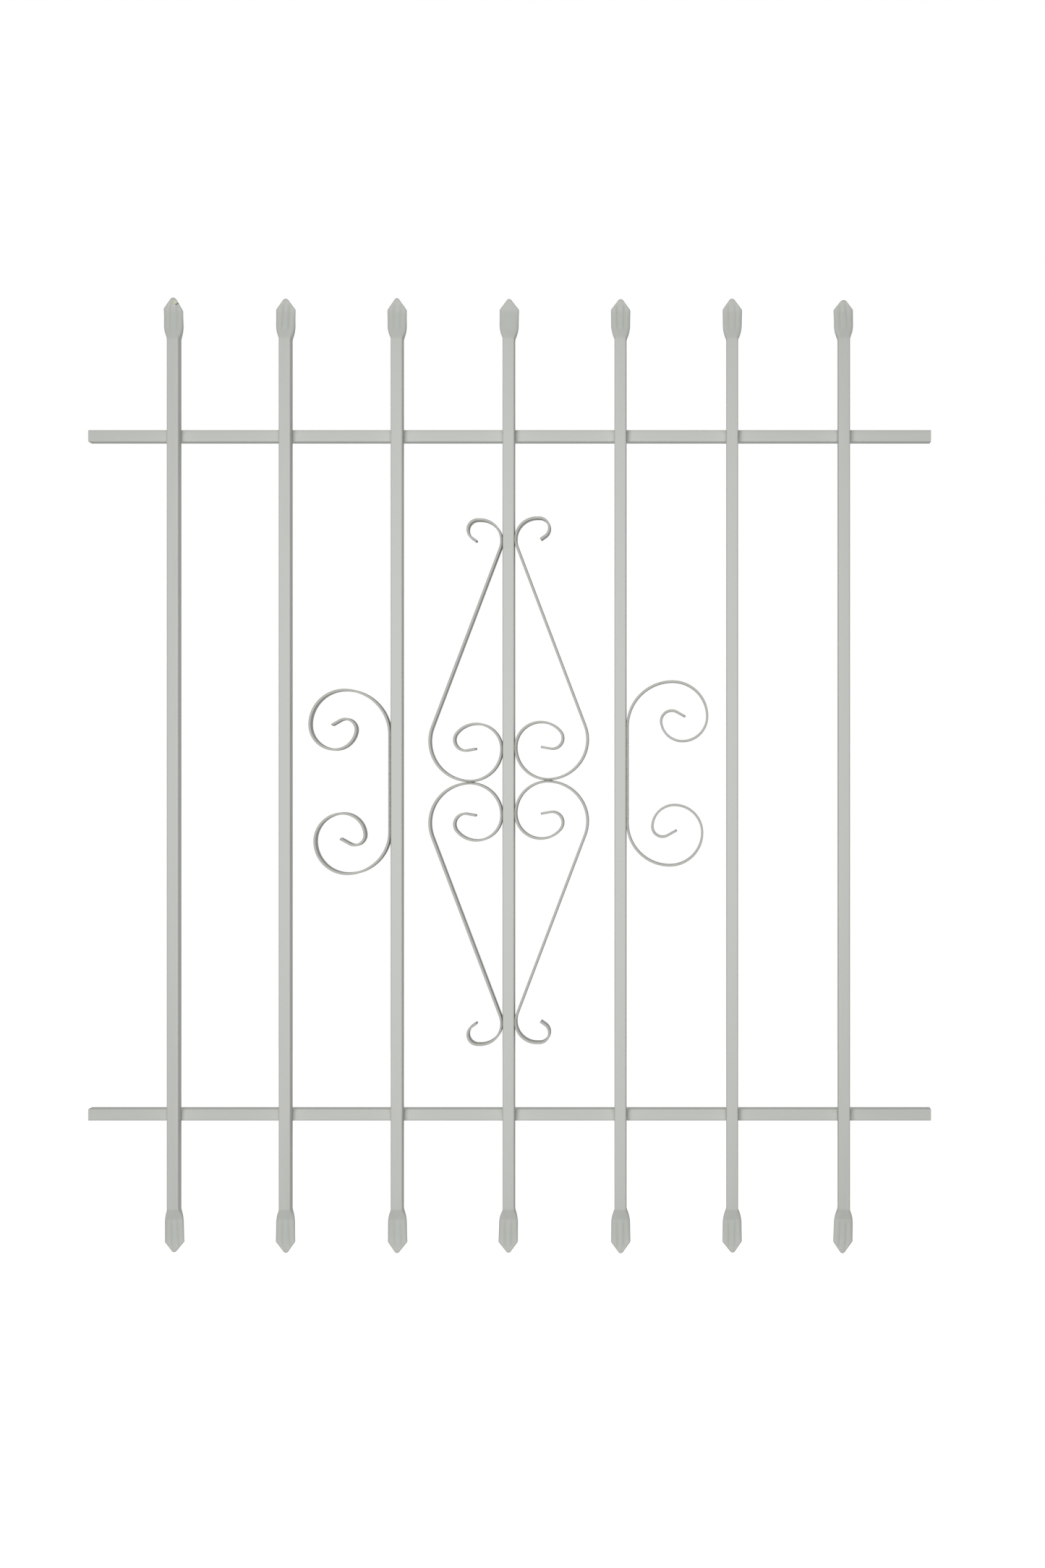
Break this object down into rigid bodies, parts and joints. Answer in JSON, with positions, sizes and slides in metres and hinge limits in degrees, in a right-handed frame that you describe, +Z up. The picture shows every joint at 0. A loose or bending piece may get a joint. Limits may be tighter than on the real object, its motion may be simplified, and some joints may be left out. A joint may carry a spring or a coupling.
{
  "type": "window security bar",
  "caption": "Fixed window guard: upright square-tube bars with pressed spear points welded on two rails, with flat-strip scrolls in the middle.",
  "frame": {"origin": "middle of the panel's box, where the middle bar's back face meets the plane of the rails' front faces", "axes": "+X to the right seen from the front, +Y from the front towards the wall, +Z up along the bars"},
  "size_m": [0.9144, 0.0254, 1.0326],
  "materials": {
    "bar_paint": "satin light grey paint",
    "rail_paint": "satin light grey paint",
    "scroll_paint": "satin light grey paint",
    "weld_paint": "satin light grey paint over weld metal"
  },
  "bodies": {
    "root": {"bar_1": "bar_paint", "bar_2": "bar_paint", "bar_3": "bar_paint", "bar_4": "bar_paint", "bar_5": "bar_paint", "bar_6": "bar_paint", "bar_7": "bar_paint", "top_rail": "rail_paint", "bottom_rail": "rail_paint", "upper_left_scroll": "scroll_paint", "upper_right_scroll": "scroll_paint", "lower_left_scroll": "scroll_paint", "lower_right_scroll": "scroll_paint", "left_c_scroll": "scroll_paint", "right_c_scroll": "scroll_paint", "top_rail_welds": "weld_paint", "bottom_rail_welds": "weld_paint", "upper_scroll_welds": "weld_paint", "lower_scroll_welds": "weld_paint", "scroll_pair_welds": "weld_paint", "left_c_scroll_welds": "weld_paint", "right_c_scroll_welds": "weld_paint"}
  },
  "joints": []
}
